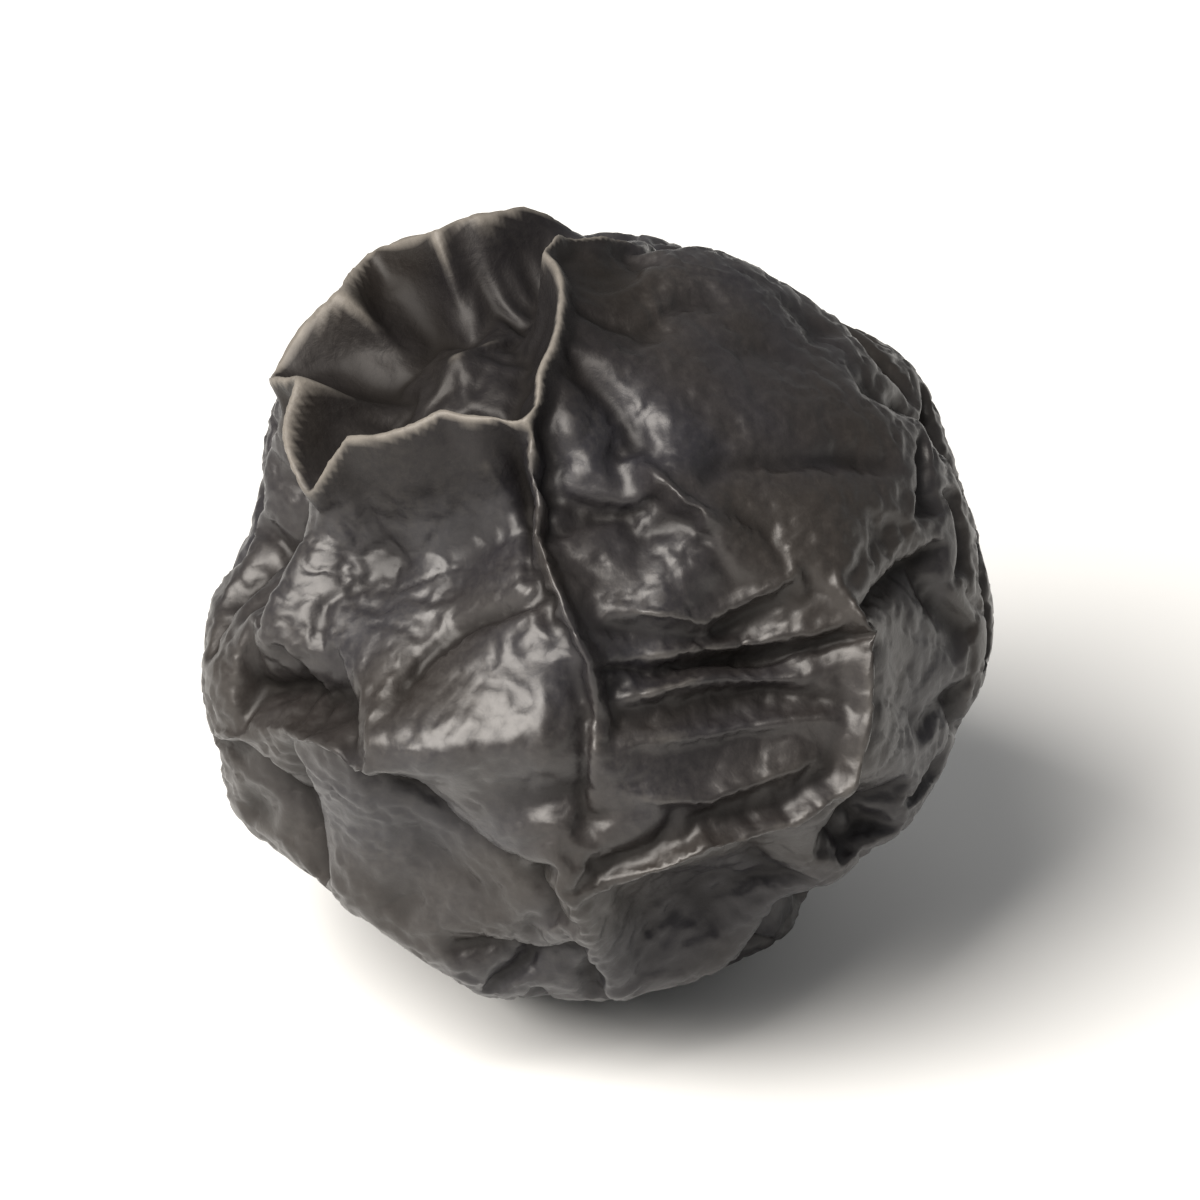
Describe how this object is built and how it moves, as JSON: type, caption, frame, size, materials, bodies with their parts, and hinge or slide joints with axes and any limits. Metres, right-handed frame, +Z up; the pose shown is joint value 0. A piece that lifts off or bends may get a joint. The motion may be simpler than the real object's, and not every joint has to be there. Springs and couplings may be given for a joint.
{
  "type": "dried blueberry",
  "caption": "Shrivelled round dried berry with a lobed calyx crown, a stem scar and a flattened underside to rest on.",
  "frame": {"origin": "middle of the berry's footprint, on the plane it rests on", "axes": "+Z up from the flat underside; -Y is the front, with the calyx crown up and to the left of it; +X to the right"},
  "size_m": [0.0104, 0.0108, 0.0108],
  "materials": {
    "berry_skin": "satin, wrinkled skin with a thin grey-blue bloom"
  },
  "bodies": {
    "root": {"dried_blueberry": "berry_skin"}
  },
  "joints": []
}
